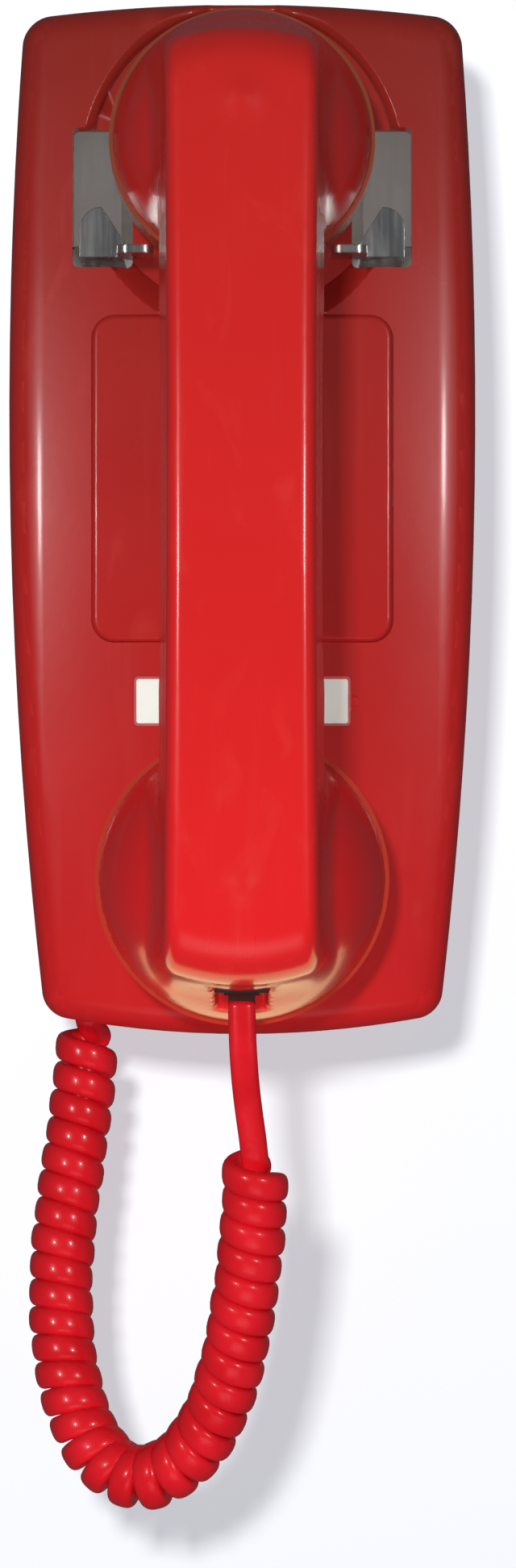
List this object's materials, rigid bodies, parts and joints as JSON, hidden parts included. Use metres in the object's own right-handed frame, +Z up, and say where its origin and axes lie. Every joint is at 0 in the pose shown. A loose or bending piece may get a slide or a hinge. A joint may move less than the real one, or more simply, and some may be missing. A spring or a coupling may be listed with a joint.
{
  "type": "wall telephone",
  "caption": "Slim wall telephone with a plain front panel, its handset hung on a sprung hook, and a curly cord looping between two modular jacks.",
  "frame": {"origin": "Centre of the two keyholes, on the rear face of the base plate", "axes": "+Z is up, +Y points into the wall, the front faces -Y, +X is to the right for someone facing the phone"},
  "size_m": [0.1038, 0.1086, 0.3339],
  "materials": {
    "housing_red": "glossy moulded",
    "handset_red": "glossy moulded",
    "card_white": "uncoated card",
    "clear_plastic": "clear",
    "zinc_steel": "zinc plated",
    "nickel_steel": "plated, bright",
    "brass": "plain",
    "black_plastic": "moulded",
    "phenolic": "laminate",
    "board_green": "solder resist",
    "copper": "enamelled winding",
    "can_blue": "sleeve",
    "cord_red": "smooth vinyl",
    "wire_grey": "vinyl",
    "steel": "plain",
    "iron": "laminated"
  },
  "bodies": {
    "root": {"housing_shell": "housing_red", "blank_dial_plate": "housing_red", "designation_window": "clear_plastic", "designation_card": "card_white", "base_plate": "zinc_steel", "housing_screw": "steel", "wall_plug_bracket": "zinc_steel", "bracket_rivets": "steel", "hookswitch_frame": "zinc_steel", "hook_pivot_pin": "steel", "hook_return_spring": "steel", "contact_springs": "brass", "contact_insulators": "phenolic", "circuit_board": "board_green", "board_posts": "steel", "board_screws": "steel", "capacitors": "can_blue", "induction_core": "iron", "induction_winding": "copper", "ringer_frame": "zinc_steel", "ringer_core": "iron", "ringer_coil": "black_plastic", "gong_left": "nickel_steel", "gong_right": "nickel_steel", "gong_screws": "steel", "volume_bracket": "zinc_steel", "volume_pin": "steel", "jack_wires": "wire_grey", "ringer_wires": "wire_grey", "base_cord_jack": "black_plastic", "cord_plug_base": "clear_plastic", "cord_lead_handset": "cord_red", "handset_cord_coil": "cord_red", "cord_lead_base": "cord_red"},
    "hook": {"hook_fork": "nickel_steel"},
    "plunger": {"switch_plunger": "black_plastic"},
    "clapper": {"clapper_arm": "steel", "clapper_ball": "brass"},
    "volume_wheel": {"volume_wheel": "black_plastic"},
    "wall_plug": {"wall_plug": "clear_plastic", "wall_plug_contacts": "brass"},
    "handset": {"handset_handle": "handset_red", "receiver_cap": "handset_red", "transmitter_cap": "handset_red", "receiver_unit": "steel", "transmitter_unit": "steel", "transmitter_contact_cup": "black_plastic", "handset_jack": "black_plastic", "handset_wires": "wire_grey", "cord_plug_handset": "clear_plastic"}
  },
  "joints": [
    {"name": "handset_lift", "type": "slide", "parent": "root", "child": "handset", "axis": [0, -0.7071, 0.7071], "range_m": [0, 0.12], "deforming": ["cord_lead_handset", "handset_cord_coil"]},
    {"name": "hook_pivot", "type": "hinge", "parent": "root", "child": "hook", "pos_m": [0, -0.016, 0.05], "axis": [-1, 0, 0], "range_deg": [0, 8]},
    {"name": "plunger_slide", "type": "slide", "parent": "root", "child": "plunger", "axis": [0, -1, 0], "range_m": [0, 0.0014]},
    {"name": "clapper_swing", "type": "hinge", "parent": "root", "child": "clapper", "pos_m": [0, -0.017, -0.0445], "axis": [0, 1, 0], "range_deg": [-2.5, 2.5], "stiffness_Nm_per_rad": 0.002},
    {"name": "volume_turn", "type": "hinge", "parent": "root", "child": "volume_wheel", "pos_m": [0.028, -0.016, -0.1028], "axis": [1, 0, 0], "range_deg": [-40, 40]},
    {"name": "wall_plug_float", "type": "slide", "parent": "root", "child": "wall_plug", "axis": [0, 0, 1], "range_m": [0, 0.0076]}
  ],
  "couplings": [
    {"joint": "hook_pivot", "follows": "handset_lift", "rad_per_m": 1.1636},
    {"joint": "plunger_slide", "follows": "handset_lift", "ratio": 0.011666}
  ]
}
